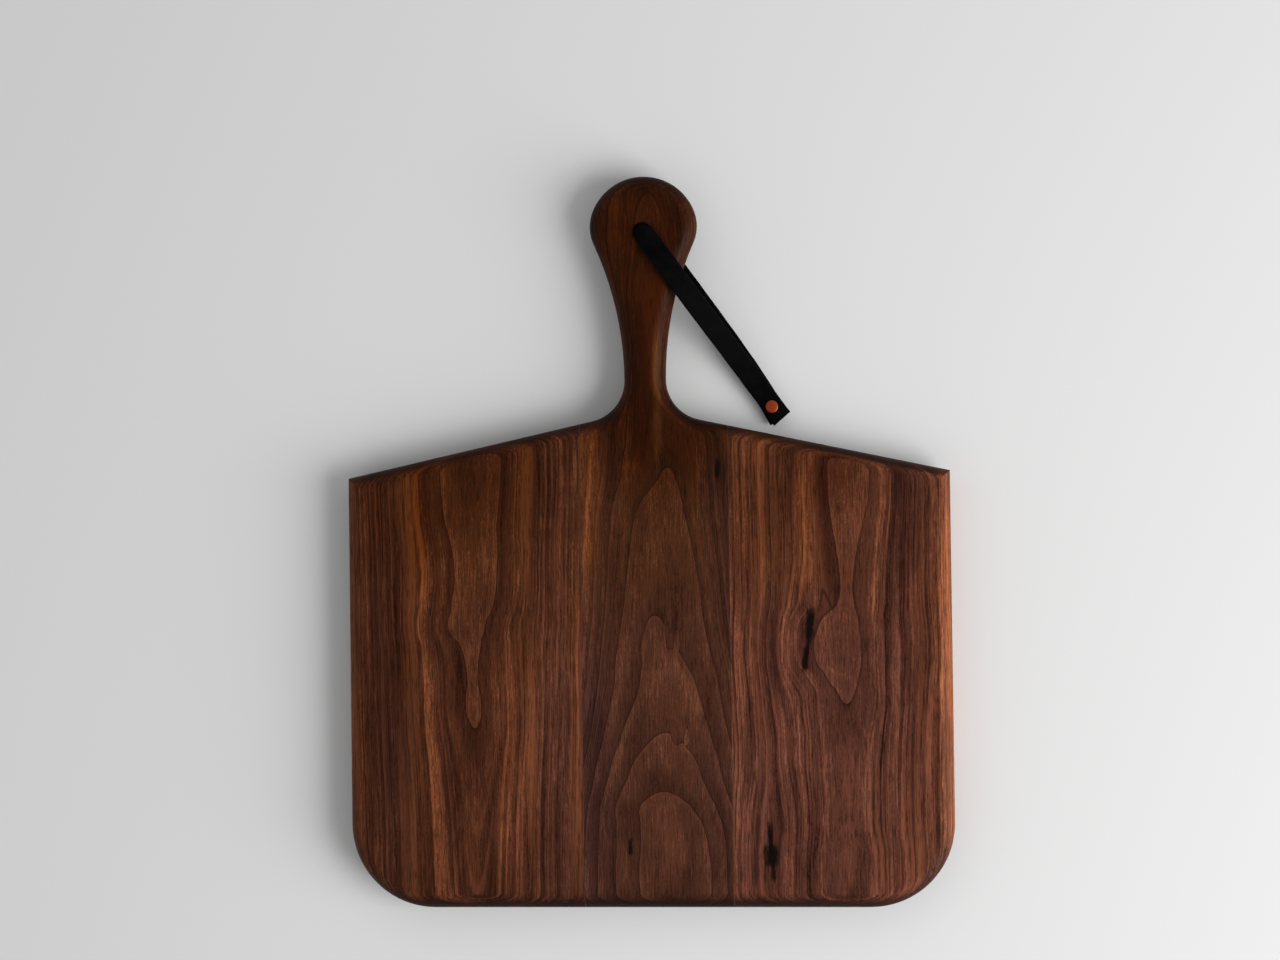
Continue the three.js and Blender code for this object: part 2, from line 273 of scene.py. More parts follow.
def area_lamp(name, place, size, power):
    data = bpy.data.lights.new(name, "AREA")
    data.shape = "SQUARE"
    data.size = size
    data.energy = power
    lamp = new_object(name, data)
    lamp.location = place
    lamp.rotation_euler = (-place).to_track_quat("-Z", "Y").to_euler()


def pale_floor():
    mesh = bpy.data.meshes.new("floor")
    half = FLOOR_SIZE / 2
    corners = [(-half, -half, 0), (half, -half, 0), (half, half, 0), (-half, half, 0)]
    mesh.from_pydata(corners, [], [(0, 1, 2, 3)])
    paint, _, shader = new_material("floor_paint")
    shader.inputs["Base Color"].default_value = FLOOR_COLOUR
    shader.inputs["Roughness"].default_value = FLOOR_ROUGHNESS
    shader.inputs["Specular IOR Level"].default_value = FLOOR_SPECULAR
    mesh.materials.append(paint)
    floor = new_object("floor", mesh)
    floor.location.z = -FLOOR_DROP * MM


def studio_sky():
    """A sky that is grey near the horizon and dims towards the point overhead."""
    world = bpy.data.worlds.new("studio_sky")
    world.use_nodes = True
    shading = Shading(world.node_tree)
    direction = shading.add("ShaderNodeTexCoord").outputs["Generated"]
    upwards = shading.add("ShaderNodeSeparateXYZ", {0: direction}).outputs["Z"]
    start, end = CARD_EDGE
    strength = shading.ramp(upwards, start, end, SKY_STRENGTH, OVERHEAD_STRENGTH)
    sky = world.node_tree.nodes["Background"]
    sky.inputs["Color"].default_value = (1, 1, 1, 1)
    shading.feed(sky.inputs["Strength"], strength)
    bpy.context.scene.world = world


area_lamp("window_key", KEY_PLACE, KEY_SIZE, KEY_POWER)
pale_floor()
studio_sky()
bpy.context.scene.view_settings.view_transform = "Standard"
print("key", KEY_POWER, "W, sky", SKY_STRENGTH, "and", OVERHEAD_STRENGTH, "overhead")

# %% [markdown]
# ## Place on the board
# All the grain is drawn in the board's own millimetres: X across, Y towards the handle, and Depth below
# the serving face. Object coordinates give that at once, because the frame keeps every node's place in
# its mesh. Grain that is drawn in depth as well follows the rounded edges by itself.

# %% Group: place on the board
END_GRAIN_LEAN = (0.2, 0.8)


def board_place_group():
    outputs = {"X": NUMBER, "Y": NUMBER, "Depth": NUMBER, "End grain": NUMBER}
    shading, _, target = new_group("board_place", {}, outputs)
    coordinates = shading.add("ShaderNodeTexCoord").outputs
    metres = shading.add("ShaderNodeSeparateXYZ", {0: coordinates["Object"]}).outputs
    normal = shading.add("ShaderNodeSeparateXYZ", {0: coordinates["Normal"]}).outputs
    shading.feed(target["X"], shading.over(metres["X"], MM))
    shading.feed(target["Y"], shading.over(metres["Y"], MM))
    shading.feed(target["Depth"], shading.minus(FACE_HEIGHT, shading.over(metres["Z"], MM)))
    start, end = END_GRAIN_LEAN
    shading.feed(target["End grain"], shading.ramp(shading.math("ABSOLUTE", normal["Y"]), start, end))
    return shading.tree


board_place = board_place_group()
print("group", board_place.name)

# %% [markdown]
# ## Marks in the grain
# Walnut has streaks of orange sapwood, plum-coloured heartwood, pin knots and dark bark pockets. Each is a
# soft ellipse with a ragged edge. The group gives its mask, and a push that bends the grain lines round
# it, as they grow round a knot. Placing it many times with its own values is less work than painting.

# %% Group: one mark in the grain
SPECKLES_ACROSS = 0.5
SPECKLES_ALONG = 0.15
PUSH_FADE = 0.35


def grain_mark_group():
    inputs = ["X", "Y", "Centre X", "Centre Y", "Half width", "Half length", "Lean", "Softness", "Ragged"]
    outputs = {"Mask": NUMBER, "Push": NUMBER}
    shading, source, target = new_group("grain_mark", {name: NUMBER for name in inputs}, outputs)
    x, y = source["X"], source["Y"]
    above = shading.minus(y, source["Centre Y"])
    beside = shading.minus(shading.minus(x, source["Centre X"]), shading.times(above, source["Lean"]))
    across = shading.math("ABSOLUTE", shading.over(beside, source["Half width"]))
    along = shading.math("ABSOLUTE", shading.over(above, source["Half length"]))
    squares = shading.plus(shading.math("POWER", across, 2.0), shading.math("POWER", along, 4.0))
    speckle_place = shading.vector(shading.times(x, SPECKLES_ACROSS), shading.times(y, SPECKLES_ALONG),
                                   source["Centre X"])
    speckle = shading.noise(speckle_place, 3.0, 0.6)
    rough = shading.times(shading.minus(speckle, 0.5), source["Ragged"])
    distance = shading.plus(shading.math("SQRT", squares), rough)
    inner = shading.minus(1.0, source["Softness"])
    shading.feed(target["Mask"], shading.ramp(distance, inner, 1.0, 1.0, 0.0))
    far = shading.times(squares, -PUSH_FADE)
    shading.feed(target["Push"], shading.times(beside, shading.math("EXPONENT", far)))
    return shading.tree


grain_mark = grain_mark_group()
print("group", grain_mark.name)

# %% [markdown]
# ## Walnut
# A stave is a slice through a trunk, so its grain is a cut through nested growth rings. The group works out
# how far each point of the stave lies outside the innermost ring of the figure, in the face and in depth.
# One rule then gives flames and arches on the face, straight lines at the sides and end grain at the foot.
# A ring has a thin dark line, a plum shade outside it and a pale rim inside it, at the same width all along.

# %% Growth rings
FIRST_RING = 40.0
LEAST_GROWTH = 40.0
LEAST_SPREAD = 100.0
FIGURE_EDGE = (30.0, 420.0)
RING_DRIFT = 0.012


class Wood(Shading):
    """The walnut group's node tree, with its sockets and the values that its parts share."""

    def __init__(self, tree, source):
        super().__init__(tree)
        self.source = source
        self.x, self.y, self.depth, self.seed = [source[name] for name in ("X", "Y", "Depth", "Seed")]
        self.find_rings()

    def stretched(self, per_mm_across, per_mm_along, shift):
        """A place for noise that is drawn out along the stave."""
        return self.vector(self.plus(self.times(self.x, per_mm_across), self.seed),
                           self.plus(self.times(self.y, per_mm_along), shift),
                           self.times(self.depth, per_mm_across))

    def banded(self, per_mm, per_mm_along, shift):
        """A place for noise that follows the rings."""
        return self.vector(self.times(self.band, per_mm),
                           self.plus(self.times(self.y, per_mm_along), self.seed),
                           self.plus(self.times(self.across, RING_DRIFT), shift))

    def centred(self, value, strength):
        return self.times(self.minus(value, 0.5), strength)

    def fading(self, distance, reach):
        return self.math("EXPONENT", self.over(distance, -reach))

    def by_place(self, on_figure, beside_it):
        return self.ramp(self.away, 0.0, 1.0, on_figure, beside_it)

    def find_rings(self):
        """The area between a point's ring and the innermost one, how fast it grows, and the ring's width."""
        slow = self.centred(self.noise(self.stretched(0.03, 0.009, 3.0), 2.0), 2.4)
        quick = self.centred(self.noise(self.stretched(0.13, 0.04, 11.0), 2.0), 1.1)
        self.across = self.plus(self.source["Across"], self.plus(slow, quick))
        deep = self.times(self.depth, self.plus(self.times(self.source["Heart"], 2.0), self.depth))
        on_face = self.minus(self.times(self.across, self.across), self.source["Figure"])
        area = self.plus(on_face, deep)
        growth_across = self.times(self.across, 2.0)
        growth_along = self.plus(self.times(growth_across, self.source["Lean"]), self.source["Opening"])
        squares = self.plus(self.times(growth_across, growth_across), self.times(growth_along, growth_along))
        growth = self.math("SQRT", self.plus(squares, LEAST_GROWTH))
        rings = self.plus(self.over(area, self.source["Ring area"]), FIRST_RING)
        self.part = self.math("FRACT", rings)
        self.number = self.math("FLOOR", rings)
        ring_width = self.over(self.source["Ring area"], growth)
        self.outside = self.times(self.part, ring_width)
        self.inside = self.times(self.minus(1.0, self.part), ring_width)
        spread = self.math("SQRT", self.plus(self.math("ABSOLUTE", area), LEAST_SPREAD))
        self.band = self.over(area, spread)
        self.away = self.ramp(area, *FIGURE_EDGE)


print("rings start beside the figure, from area", FIGURE_EDGE[0], "square mm")

# %% Body colour of the wood
def body_colour(wood):
    """Bands that follow the rings beside the figure, with fibres and broad mottling."""
    source = wood.source
    bands = wood.noise(wood.banded(0.16, 0.004, 0.0), 3.0, 0.6)
    fibres = wood.noise(wood.stretched(1.4, 0.12, 17.0), 3.0, 0.65)
    threads = wood.noise(wood.stretched(0.8, 0.035, 37.0), 2.0, 0.6)
    flecks = wood.noise(wood.stretched(1.5, 0.45, 71.0), 2.0, 0.6)
    mottle = wood.noise(wood.stretched(0.07, 0.02, 23.0), 2.0, 0.5)
    hairs = wood.plus(wood.plus(wood.centred(fibres, 0.9), wood.centred(threads, 0.7)),
                      wood.centred(flecks, 0.6))
    slant = wood.times(wood.centred(wood.part, 1.0), source["Ring contrast"])
    shade = wood.plus(0.5, wood.times(wood.centred(bands, 1.35), wood.by_place(0.35, 1.0)))
    shade = wood.plus(shade, wood.times(hairs, wood.by_place(0.85, 1.0)))
    shade = wood.plus(shade, wood.centred(mottle, 0.65))
    shade = wood.plus(shade, wood.times(slant, wood.by_place(1.0, 0.4)))
    tint = wood.mix(wood.ramp(shade, 0.05, 0.5), source["Dark"], source["Brown"])
    tint = wood.mix(wood.ramp(shade, 0.5, 0.95), tint, source["Pale"])
    zones = wood.noise(wood.banded(0.05, 0.003, 31.0), 2.0, 0.5)
    tint = wood.mix(wood.times(wood.ramp(zones, 0.5, 0.7, 0.0, 0.65), wood.away), tint, source["Warm"])
    tint = wood.mix(wood.times(wood.ramp(zones, 0.5, 0.3, 0.0, 0.6), wood.away), tint, source["Plum"])
    return tint, fibres


print("body colour mixes five tints")

# %% Ring lines and fine lines
LINE_WIDTH = 0.55
SHADE_WIDTH = 2.6
RIM_WIDTH = 1.5


def ring_lines(wood, tint):
    """A dark line on each ring, strong on the figure itself and uneven further out."""
    source = wood.source
    number = wood.plus(wood.number, wood.seed)
    own = wood.add("ShaderNodeTexWhiteNoise", {"W": number}, noise_dimensions="1D").outputs[0]
    figure_ring = wood.ramp(wood.number, FIRST_RING, FIRST_RING + 1.0, 0.95, 0.0)
    strength = wood.math("MAXIMUM", figure_ring, wood.ramp(own, 0.2, 0.9, 0.25, 0.95))
    patchy = wood.ramp(wood.noise(wood.stretched(0.04, 0.02, 29.0), 1.0), 0.3, 0.6, 0.6, 1.0)
    strength = wood.times(strength, patchy)
    rim = wood.times(wood.fading(wood.inside, RIM_WIDTH), strength)
    shade = wood.times(wood.fading(wood.outside, SHADE_WIDTH), strength)
    line = wood.times(wood.fading(wood.outside, LINE_WIDTH), strength)
    tint = wood.mix(wood.times(rim, 0.28), tint, source["Pale"])
    tint = wood.mix(wood.times(shade, 0.3), tint, source["Plum"])
    return wood.mix(line, tint, source["Dark"])


def fine_lines(wood, tint):
    """Thin broken lines between the rings, beside the figure."""
    source = wood.source
    fine = wood.noise(wood.banded(0.8, 0.007, 47.0), 2.0, 0.55)
    broken = wood.ramp(wood.noise(wood.stretched(0.45, 0.07, 61.0), 2.0), 0.35, 0.6, 0.35, 1.0)
    strength = wood.times(wood.times(wood.by_place(0.15, 1.0), source["Fine lines"]), broken)
    tint = wood.mix(wood.times(wood.ramp(fine, 0.52, 0.62, 0.0, 0.9), strength), tint, source["Dark"])
    return wood.mix(wood.times(wood.ramp(fine, 0.46, 0.34, 0.0, 0.6), strength), tint, source["Pale"])


print("ring lines", LINE_WIDTH, "mm wide")

# %% Group: walnut grain
PORE_DARKNESS = 0.5
END_GRAIN_DARKNESS = 0.75
WOOD_ROUGHNESS = 0.45


def walnut_group():
    numbers = ["X", "Y", "Depth", "End grain", "Across", "Figure", "Lean", "Opening", "Heart", "Ring area",
               "Ring contrast", "Fine lines", "Seed"]
    tints = ["Dark", "Brown", "Pale", "Warm", "Plum"]
    inputs = {**{name: NUMBER for name in numbers}, **{name: TINT for name in tints}}
    outputs = {"Colour": TINT, "Roughness": NUMBER, "Height": NUMBER, "Band": NUMBER}
    shading, source, target = new_group("walnut_grain", inputs, outputs)
    wood = Wood(shading.tree, source)
    tint, fibres = body_colour(wood)
    tint = fine_lines(wood, ring_lines(wood, tint))
    pores = wood.ramp(wood.noise(wood.stretched(1.5, 0.09, 53.0), 1.0, 0.5), 0.56, 0.66)
    tint = wood.mix(wood.times(pores, PORE_DARKNESS), tint, source["Dark"])
    tint = wood.mix(wood.times(source["End grain"], END_GRAIN_DARKNESS), tint, source["Dark"])
    roughness = wood.plus(wood.plus(WOOD_ROUGHNESS, wood.centred(fibres, 0.12)), wood.times(pores, 0.15))
    wood.feed(target["Colour"], tint)
    wood.feed(target["Roughness"], roughness)
    wood.feed(target["Height"], wood.minus(wood.times(fibres, 0.35), pores))
    side = wood.math("SIGN", wood.across)
    wood.feed(target["Band"], wood.times(side, wood.math("MAXIMUM", wood.band, 0.0)))
    return wood.tree


walnut_grain = walnut_group()
print("group", walnut_grain.name, "with", len(walnut_grain.nodes), "nodes")

# %% [markdown]
# ## The three staves
# Each stave gets its own cut through the tree: a centre line that the figure runs along, and a figure curve
# that says how wide the innermost ring is at each height (its half width squared, below zero where the
# ring is closed). A few points for each are enough, because the rings between them follow by themselves.
# Streaks are placed by their distance from the figure, so they bend with the grain. Spots are placed in X.

# %% Tones and marks
BARK = colour(10, 6, 5)
# Brightens the right rim: sapwood, with painted light on it.
SAPWOOD_AND_RIM_LIGHT = (2.3, 2.3, 1.9, 1)
WARMER = (1.8, 1.75, 1.45, 1)
PALER = (1.8, 1.8, 1.75, 1)
DARKER = (0.52, 0.46, 0.48, 1)
HEARTWOOD = (0.46, 0.31, 0.11, 1)
# Brightens paler wood on the neck and adds a painted highlight to it.
PALE_WOOD_AND_HIGHLIGHT = (2.0, 3.1, 4.6, 1)
# Darkens the foot: mostly painted shade, partly oiled end grain.
OILED_AND_SHADED = (0.32, 0.28, 0.28, 1)
AMBER = (1.9, 1.75, 1.2, 1)
EMBER = (1.05, 0.97, 0.62, 1)
ROSY = (0.95, 1.02, 1.35, 1)


def mark(tint, blend, strength, centre, half_width, half_length, lean=0.0, softness=0.9, ragged=0.5,
         push=0.0, lift=0.0):
    """One mark: its colour, how that joins the wood, and its place and shape in millimetres."""
    values = {"Centre X": centre[0], "Centre Y": centre[1], "Half width": half_width,
              "Half length": half_length, "Lean": lean, "Softness": softness, "Ragged": ragged}
    return {"tint": tint, "blend": blend, "strength": strength, "push": push, "lift": lift, "values": values}


def tone(factor, strength, centre, half_width, half_length, lean=0.0, **shape):
    """A zone that is warmer, paler or darker, with the grain still showing in it."""
    return mark(factor, "MULTIPLY", strength, centre, half_width, half_length, lean, **shape)


def bark(strength, centre, half_width, half_length, lean=0.0, push=0.0):
    """A pocket of dark bark or a pin knot, ragged at its edge."""
    return mark(BARK, "MIX", strength, centre, half_width, half_length, lean, 0.75, 1.2, push)


def bulge(lift, centre, half_width, half_length):
    """A place where the figure bulges out (above zero) or draws in (below zero)."""
    return mark(DARKER, "MULTIPLY", 0.0, centre, half_width, half_length, softness=1.0, ragged=0.0, lift=lift)


# A darker band along the foot: mostly painted shade, partly the extra oil that end grain soaks up.
shaded_oiled_foot = tone(OILED_AND_SHADED, 1.0, (0, -219), 400, 14, ragged=0.2)
print("marks are placed in millimetres")

# %% Stave material
GRAIN_RELIEF = 0.06
GRAIN_BUMP = 0.35
WOOD_SPECULAR = 0.06
CURVE_STEP = 3.0
BEND_START = 14.0
BEND_END = 50.0


def stave_material(name, palette, centre_line, figure, spots, streaks, rings):
    material, shading, shader = new_material(name)
    place = shading.group(board_place, {})
    x, y = place["X"], place["Y"]
    higher = shading.plus(y, CURVE_STEP)

    def steepness(points, here):
        return shading.over(shading.minus(shading.curve(higher, points), here), CURVE_STEP)

    straight = sum(middle for _, middle in centre_line) / len(centre_line)
    beside = shading.minus(x, straight)
    near = shading.ramp(shading.math("ABSOLUTE", beside), BEND_START, BEND_END, 1.0, 0.0)
    centre = shading.curve(y, centre_line)
    across = shading.minus(beside, shading.times(shading.minus(centre, straight), near))
    width = shading.curve(y, figure)
    opening = steepness(figure, width)
    masks = []
    for entry in spots:
        spot = shading.group(grain_mark, {"X": x, "Y": y, **entry["values"]})
        masks.append(spot["Mask"])
        if entry["push"]:
            across = shading.minus(across, shading.times(spot["Push"], entry["push"]))
        if entry["lift"]:
            width = shading.plus(width, shading.times(spot["Mask"], entry["lift"]))
    grain = shading.group(walnut_grain, {
        "X": x, "Y": y, "Depth": place["Depth"], "End grain": place["End grain"],
        "Across": across, "Figure": width, "Lean": steepness(centre_line, centre), "Opening": opening,
        **rings, **palette})
    for entry in streaks:
        streak = shading.group(grain_mark, {"X": grain["Band"], "Y": y, **entry["values"]})
        masks.append(streak["Mask"])
    tint = grain["Colour"]
    for entry, mask in zip(spots + streaks, masks):
        tint = shading.mix(shading.times(mask, entry["strength"]), tint, entry["tint"], entry["blend"])
    shading.feed(shader.inputs["Base Color"], tint)
    shading.feed(shader.inputs["Roughness"], grain["Roughness"])
    shading.feed(shader.inputs["Normal"], shading.bump(grain["Height"], GRAIN_BUMP, GRAIN_RELIEF))
    shader.inputs["Specular IOR Level"].default_value = WOOD_SPECULAR
    return material


print("stave material with grain", GRAIN_RELIEF, "mm deep")

# %% [markdown]
# ### Left stave
# The figure of this stave is a long pale flame that ends in a drop. It could be drawn as an outline. Here
# only its half width squared is given at a few heights, and the lines beside it follow from that. The tones
# warm the wood at the shoulder and darken the bands beside the flame.

# %% Left stave: a long flame that ends in a drop
LEFT_PALETTE = {"Dark": colour(32, 12, 5), "Brown": colour(74, 39, 23), "Pale": colour(122, 70, 47),
                "Warm": colour(116, 65, 34), "Plum": colour(52, 25, 17)}
LEFT_CENTRE = [(-216, -102), (-109, -102.5), (-100, -103), (-82, -103.5), (-66, -104.2), (-58, -105),
               (-52, -106.7), (-42, -104.7), (-32, -102.5), (-15, -101), (5, -102.5), (20, -103.5),
               (62, -103)]
LEFT_FIGURE = [(-216, -270), (-160, -190), (-124, -75), (-109, 0), (-106, 5), (-100, 20), (-92, 21),
               (-82, 9), (-75, 11), (-66, 22), (-58, 49), (-52, 105), (-42, 138), (-32, 156), (-20, 156),
               (-10, 169), (5, 210), (20, 272), (40, 324), (62, 340)]
LEFT_SPOTS = [
    shaded_oiled_foot,
    tone(EMBER, 0.9, (-115, 60), 80, 110),
    tone(ROSY, 0.9, (-48, -150), 38, 115),
    tone(ROSY, 0.8, (-146, -150), 13, 75),
    tone(PALER, 0.3, (-174, -140), 8, 80),
    tone(DARKER, 0.5, (-148, -188), 9, 26),
    tone(PALER, 0.3, (-44, -110), 6, 110),
    tone(PALER, 0.5, (-41, -80), 2.4, 140),
    tone(HEARTWOOD, 0.5, (-95, 62), 75, 72, ragged=0.3),
    tone(HEARTWOOD, 0.6, (-160, 20), 12, 50),
    tone(HEARTWOOD, 0.7, (-133, 30), 14, 75),
    tone(DARKER, 0.75, (-147, -80), 11, 150),
    tone(PALER, 0.8, (-124, -100), 7, 45),
    tone(DARKER, 0.5, (-126, -190), 9, 28),
    tone(PALER, 0.95, (-81, -132), 17, 92),
    tone(PALER, 0.45, (-62, -110), 13, 110),
    tone(PALER, 0.5, (-104, -175), 12, 40),
    tone(DARKER, 0.65, (-103, -130), 11, 26),
    tone(DARKER, 0.4, (-112, -85), 6, 28),
    # Painted shade at the lower left corner.
    tone(DARKER, 0.6, (-177, -196), 14, 24),
    tone(DARKER, 0.8, (-117.2, -18), 2.4, 25),
    tone(DARKER, 0.8, (-116, -53), 2.6, 3.2),
]
LEFT_STREAKS = [
    tone(WARMER, 1.0, (-26, -70), 4, 190),
    tone(WARMER, 0.5, (19, -60), 6, 150),
    tone(DARKER, 0.7, (7, 10), 5, 70),
]
LEFT_RINGS = {"Heart": 120.0, "Ring area": 432.0, "Ring contrast": 0.2, "Fine lines": 0.65, "Seed": 4.0}
left_walnut = stave_material("walnut_left", LEFT_PALETTE, LEFT_CENTRE, LEFT_FIGURE, LEFT_SPOTS, LEFT_STREAKS,
                             LEFT_RINGS)
print("stave", left_walnut.name)

# %% [markdown]
# ### Handle stave
# The neck and the knob are cut from this stave, and its arches point at them. How fast the figure curve falls
# sets how steep an arch is. Small bulges roughen the arches' tips, which a smooth curve alone would leave too
# clean. One large tone darkens the neck and the knob. Down the neck, a darker band on its left is painted
# shade, and a pale streak on its right is paler wood with a painted highlight.

# %% Handle stave: nested arches that point at the handle
HANDLE_PALETTE = {"Dark": colour(33, 14, 7), "Brown": colour(73, 41, 28), "Pale": colour(114, 68, 48),
                  "Warm": colour(98, 52, 23), "Plum": colour(52, 28, 21)}
HANDLE_CENTRE = [(-216, 15.5), (-195, 15.5), (-165, 13.2), (-147, 9), (-128, 9.5), (-100, 11),
                 (-88, 11.5), (-75, 10), (-60, 8.5), (-25, 9), (0, 8.5), (12, 8.3), (20, 8.8), (28, 10.5),
                 (36, 12.3), (43, 13), (90, 11), (150, 6), (216, 3)]
HANDLE_FIGURE = [(-216, 2410), (-195, 2410), (-180, 2360), (-165, 2270), (-155, 2155), (-151, 2045),
                 (-147, 1952), (-140, 1800), (-128, 1611), (-120, 1434), (-110, 1262), (-100, 1110),
                 (-88, 960), (-75, 840), (-60, 690), (-40, 520), (-25, 441), (0, 306), (12, 225),
                 (20, 165), (28, 90), (36, 25), (43, 0), (60, -110), (100, -260), (150, -420), (216, -700)]
HANDLE_SPOTS = [
    shaded_oiled_foot,
    tone(EMBER, 0.75, (0, 20), 70, 75),
    tone(ROSY, 0.85, (-34, -150), 24, 100),
    tone(ROSY, 0.4, (40, -160), 20, 70),
    tone(HEARTWOOD, 1.0, (10, 165), 75, 165, softness=0.55, ragged=0.2),
    # Painted shade on the knob's left edge.
    tone(DARKER, 0.85, (-28, 182), 8, 36),
    tone(AMBER, 0.55, (-9, 190), 13, 26),
    tone(DARKER, 0.4, (-6, 0), 9, 45),
    tone(PALER, 0.4, (20, -112), 20, 45),
    tone(PALER, 0.3, (6, -82), 12, 24),
    # Down the neck: the darker band on its left is painted shade, and the pale streak on its right is paler
    # wood with a painted highlight.
    tone(DARKER, 0.85, (-3.5, 92), 8.5, 54, softness=0.6),
    tone(PALE_WOOD_AND_HIGHLIGHT, 0.75, (7.6, 84), 4.0, 50, softness=0.8),
    tone(AMBER, 0.7, (-31.5, 28), 9.5, 58, 0.06),
    tone(AMBER, 0.6, (-36, 68), 10, 22),
    tone(WARMER, 0.4, (-34, -25), 4, 40),
    tone(DARKER, 0.5, (-30, -150), 10, 70),
    tone(DARKER, 0.45, (43, -172), 7, 42),
    tone(DARKER, 0.35, (-20, 0), 8, 50),
    tone(DARKER, 0.4, (8, -141), 20, 10),
    tone(DARKER, 0.45, (-14, -166), 8, 16),
    tone(PALER, 0.5, (10, -178), 16, 30),
    tone(DARKER, 0.45, (21, -198), 7, 13),
    tone(DARKER, 0.85, (16.4, -50), 2.0, 12, 0.05),
    bark(0.95, (42.5, 42), 2.3, 7.5, push=0.9),
    bark(0.9, (-11.5, -179), 2.0, 6, push=0.9),
    bulge(-190, (13, -57), 3.8, 9),
    bulge(160, (17.4, -57), 2.8, 8),
    bulge(150, (1.5, -52), 15, 20),
    bulge(-130, (16, -115), 4, 8),
    bulge(200, (22.8, -112), 3.5, 9),
]
HANDLE_STREAKS = []
HANDLE_RINGS = {"Heart": 110.0, "Ring area": 650.0, "Ring contrast": 0.22, "Fine lines": 0.4, "Seed": 9.0}
handle_walnut = stave_material("walnut_handle", HANDLE_PALETTE, HANDLE_CENTRE, HANDLE_FIGURE, HANDLE_SPOTS,
                               HANDLE_STREAKS, HANDLE_RINGS)
print("stave", handle_walnut.name)

# %% [markdown]
# ### Right stave
# Fine wavy lines part round bark pockets in this stave. Each pocket is a mark that also pushes the lines
# aside, so the same few values darken the pocket and bend the grain. A bright band along the rim is sapwood
# with painted light on it.

# %% Right stave: fine wavy grain with small knots
RIGHT_PALETTE = {"Dark": colour(34, 14, 8), "Brown": colour(86, 47, 32), "Pale": colour(134, 79, 56),
                 "Warm": colour(130, 72, 46), "Plum": colour(56, 29, 22)}
RIGHT_CENTRE = [(-216, 114), (-150, 114), (-96, 115.3), (-84, 113.3), (-77, 111.8), (-70, 110.3),
                (-62, 110.1), (-48, 111), (-42, 112.7), (-36, 114.8), (-18, 116), (5, 117.4), (25, 118.5),
                (62, 119)]
RIGHT_FIGURE = [(-216, -60), (-190, -60), (-160, -160), (-125, -130), (-96, 0), (-91, 18), (-84, 70),
                (-77, 139), (-70, 204), (-62, 215), (-55, 185), (-48, 144), (-42, 76), (-36, 28),
                (-28, 17), (-18, 20), (-8, 34), (5, 66), (15, 100), (25, 132), (38, 144), (62, 150)]
RIGHT_SPOTS = [
    shaded_oiled_foot,
    tone(EMBER, 0.65, (70, 50), 70, 95),
    tone(ROSY, 0.6, (110, -140), 85, 130),
    tone(ROSY, 0.5, (60, -165), 22, 60),
    tone(PALER, 0.3, (52.5, -60), 3.2, 145),
    # The bright band down the right rim, from these two tones: sapwood with painted light on it.
    tone(SAPWOOD_AND_RIM_LIGHT, 0.9, (178, -65), 12.5, 134, softness=0.35),
    tone(AMBER, 0.7, (179, -70), 8, 130),
    tone(DARKER, 0.55, (169.2, -60), 0.9, 130),
    tone(DARKER, 0.45, (173, -70), 0.8, 120),
    tone(DARKER, 0.4, (152, 20), 14, 50),
    tone(HEARTWOOD, 0.55, (108, 62), 42, 60, ragged=0.3),
    tone(PALER, 0.7, (46, -15), 7, 65),
    tone(PALER, 0.7, (80, -72), 8, 95),
    tone(PALER, 0.5, (92, -125), 7, 70),
    tone(PALER, 0.45, (116, -160), 12, 50),
    tone(DARKER, 0.3, (112, -112), 10, 20),
    tone(DARKER, 0.5, (152, -60), 6, 150),
    tone(PALER, 0.6, (164, -150), 6, 60),
    bark(0.5, (101.7, -35), 1.5, 8.5, 0.21),
    bark(0.5, (106.2, -36), 1.5, 8, -0.45),
    bark(0.45, (110.3, -32), 1.5, 12),
    tone(DARKER, 0.4, (93, -58), 9, 30, 0.15, push=0.45),
    bark(0.97, (95, -50), 3.7, 12.5, 0.03),
    bark(0.92, (93.6, -63), 1.6, 6, 0.15),
    bark(0.97, (92.2, -70.5), 3.0, 9, 0.12),
    tone(DARKER, 0.45, (71.3, -182), 10, 30, push=0.6),
    bark(0.95, (70.6, -174), 2.2, 11, -0.08),
    bark(0.97, (71.2, -184), 7.2, 8),
    bark(0.9, (72, -193), 2.4, 8, -0.05),
]
RIGHT_STREAKS = [
    tone(WARMER, 0.85, (-20, 5), 5, 45),
    tone(WARMER, 0.55, (15, -5), 3.5, 45),
    tone(DARKER, 0.95, (-5.5, 10), 7, 55),
    tone(DARKER, 0.4, (40, 5), 6, 45),
]
RIGHT_RINGS = {"Heart": 120.0, "Ring area": 552.0, "Ring contrast": 0.25, "Fine lines": 0.72, "Seed": 15.0}
right_walnut = stave_material("walnut_right", RIGHT_PALETTE, RIGHT_CENTRE, RIGHT_FIGURE, RIGHT_SPOTS,
                              RIGHT_STREAKS, RIGHT_RINGS)
print("stave", right_walnut.name)

# %% [markdown]
# ## Glue lines
# Where two staves meet, a film of cured glue shows as a dark hairline. It could be one more mark in the
# grain, but the frame holds each film as a solid of its own. So it only needs a dark, mottled material.

# %% Glue material
GLUE_DARK = colour(34, 20, 14)
GLUE_PALE = colour(62, 38, 26)


def glue_material():
    material, shading, shader = new_material("glue")
    place = shading.group(board_place, {})
    drawn_out = shading.vector(place["X"], shading.times(place["Y"], 0.4), place["Depth"])
    spots = shading.noise(drawn_out, 3.0)
    shading.feed(shader.inputs["Base Color"], shading.mix(spots, GLUE_DARK, GLUE_PALE))
    shading.feed(shader.inputs["Roughness"], shading.ramp(spots, 0.3, 0.7, 0.45, 0.65))
    return material


glue = glue_material()
print("material", glue.name)

